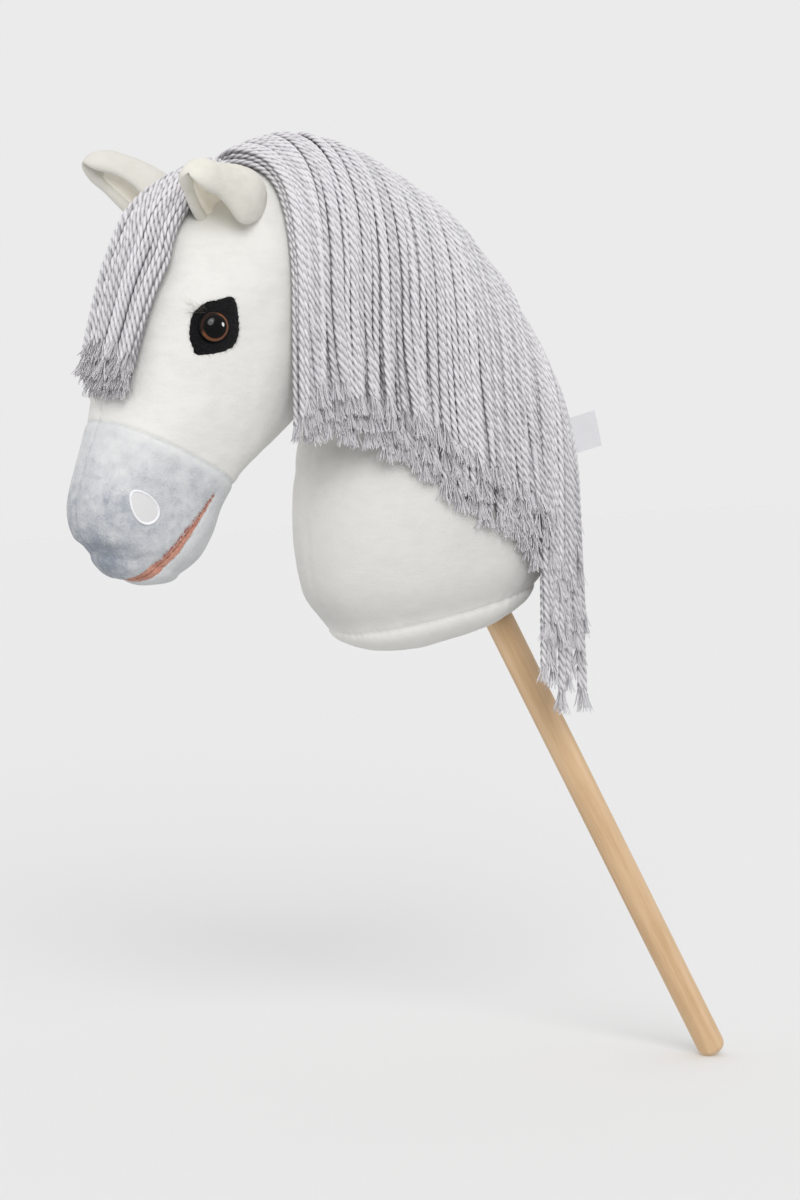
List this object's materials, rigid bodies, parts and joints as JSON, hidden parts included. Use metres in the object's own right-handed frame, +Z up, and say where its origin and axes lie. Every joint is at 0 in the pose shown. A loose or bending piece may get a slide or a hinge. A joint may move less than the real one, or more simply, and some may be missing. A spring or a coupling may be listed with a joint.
{
  "type": "hobby horse",
  "caption": "Hobby horse: a stuffed plush horse head and neck with a twisted cord mane and forelock, glass-like eyes and an open mouth, on a round wooden pole.",
  "frame": {"origin": "centre of the flat foot of the wooden pole", "axes": "+Z up, the horse looks along -X and its left side, which the mane covers, faces -Y. The pole leans back by 30.6 degrees from vertical, from the origin towards -X and +Z, so that the head is upright and the cords hang straight down."},
  "size_m": [0.6618, 0.19, 0.812],
  "materials": {
    "plush_white": "short soft plush, matt",
    "plush_grey": "short plush with airbrushed grey",
    "plush_cream": "smooth fleece, matt",
    "filling": "polyester fibre filling",
    "coral_lining": "fleece, matt",
    "black_felt": "felt, matt",
    "satin": "woven satin and satin stitching",
    "cord_grey": "twisted cord with a light sheen",
    "tape": "woven cotton tape",
    "eye_plastic": "clear polished plastic over a brown iris",
    "nylon": "moulded nylon",
    "wood": "sanded and oiled, satin"
  },
  "bodies": {
    "pole": {"pole": "wood"},
    "head": {"pole_pocket": "tape", "head_stuffing": "filling", "neck_head_left": "plush_white", "neck_head_right": "plush_white", "muzzle_left": "plush_grey", "muzzle_right": "plush_grey", "neck_base_panel": "plush_white", "mouth_lining_upper": "coral_lining", "eye_left": "eye_plastic", "eye_right": "eye_plastic", "eye_patch_left": "black_felt", "eye_patch_right": "black_felt", "eye_washer_left": "nylon", "eye_washer_right": "nylon", "nostril_left": "satin", "nostril_right": "satin", "mane_tape": "tape", "forelock_tape": "tape"},
    "jaw": {"jaw_panel": "plush_grey", "jaw_stuffing": "filling", "mouth_lining_lower": "coral_lining"},
    "ear_left": {"ear_left": "plush_white", "ear_lining_left": "plush_cream"},
    "ear_right": {"ear_right": "plush_white", "ear_lining_right": "plush_cream"},
    "forelock": {"forelock": "cord_grey"},
    "mane_lock_1": {"mane_lock_1": "cord_grey"},
    "mane_lock_2": {"mane_lock_2": "cord_grey"},
    "mane_lock_3": {"mane_lock_3": "cord_grey"},
    "mane_lock_4": {"mane_lock_4": "cord_grey"},
    "mane_lock_5": {"mane_lock_5": "cord_grey"},
    "mane_lock_6": {"mane_lock_6": "cord_grey"},
    "mane_lock_7": {"mane_lock_7": "cord_grey"},
    "mane_lock_8": {"mane_lock_8": "cord_grey"},
    "label": {"label": "satin"}
  },
  "joints": [
    {"name": "head_slide", "type": "slide", "parent": "pole", "child": "head", "axis": [-0.509, 0, 0.8607], "range_m": [0, 0.33]},
    {"name": "jaw_open", "type": "hinge", "parent": "head", "child": "jaw", "pos_m": [-0.517, 0, 0.526], "axis": [0, -1, 0], "range_deg": [0, 12], "stiffness_Nm_per_rad": 0.6, "springref_deg": -8.59},
    {"name": "ear_left_flex", "type": "hinge", "parent": "head", "child": "ear_left", "pos_m": [-0.4946, -0.048, 0.7681], "axis": [-0.3102, 0.6482, 0.6954], "range_deg": [0, 20], "stiffness_Nm_per_rad": 0.1, "springref_deg": -8.59},
    {"name": "ear_right_flex", "type": "hinge", "parent": "head", "child": "ear_right", "pos_m": [-0.4986, 0.052, 0.7639], "axis": [0.3253, 0.5913, -0.738], "range_deg": [0, 20], "stiffness_Nm_per_rad": 0.1, "springref_deg": -8.59},
    {"name": "forelock_swing", "type": "hinge", "parent": "head", "child": "forelock", "pos_m": [-0.5177, 0, 0.7864], "axis": [0, 1, 0], "range_deg": [0, 60]},
    {"name": "mane_1_swing", "type": "hinge", "parent": "head", "child": "mane_lock_1", "pos_m": [-0.483, 0.0062, 0.7923], "axis": [-1, 0, 0], "range_deg": [0, 50]},
    {"name": "mane_2_swing", "type": "hinge", "parent": "head", "child": "mane_lock_2", "pos_m": [-0.437, 0.0062, 0.7934], "axis": [-1, 0, 0], "range_deg": [0, 50]},
    {"name": "mane_3_swing", "type": "hinge", "parent": "head", "child": "mane_lock_3", "pos_m": [-0.397, 0.0062, 0.7856], "axis": [-1, 0, 0], "range_deg": [0, 50]},
    {"name": "mane_4_swing", "type": "hinge", "parent": "head", "child": "mane_lock_4", "pos_m": [-0.357, 0.0062, 0.7713], "axis": [-1, 0, 0], "range_deg": [0, 50]},
    {"name": "mane_5_swing", "type": "hinge", "parent": "head", "child": "mane_lock_5", "pos_m": [-0.317, 0.0061, 0.7493], "axis": [-1, 0, 0], "range_deg": [0, 50]},
    {"name": "mane_6_swing", "type": "hinge", "parent": "head", "child": "mane_lock_6", "pos_m": [-0.277, 0.0061, 0.7179], "axis": [-1, 0, 0], "range_deg": [0, 50]},
    {"name": "mane_7_swing", "type": "hinge", "parent": "head", "child": "mane_lock_7", "pos_m": [-0.235, 0.0058, 0.6739], "axis": [-1, 0, 0], "range_deg": [0, 50]},
    {"name": "mane_8_swing", "type": "hinge", "parent": "head", "child": "mane_lock_8", "pos_m": [-0.195, 0.0057, 0.6189], "axis": [-1, 0, 0], "range_deg": [0, 50]},
    {"name": "label_flex", "type": "hinge", "parent": "head", "child": "label", "pos_m": [-0.1715, 0.009, 0.537], "axis": [-0.2419, 0, 0.9703], "range_deg": [0, 60], "stiffness_Nm_per_rad": 0.002, "springref_deg": -8.59}
  ]
}
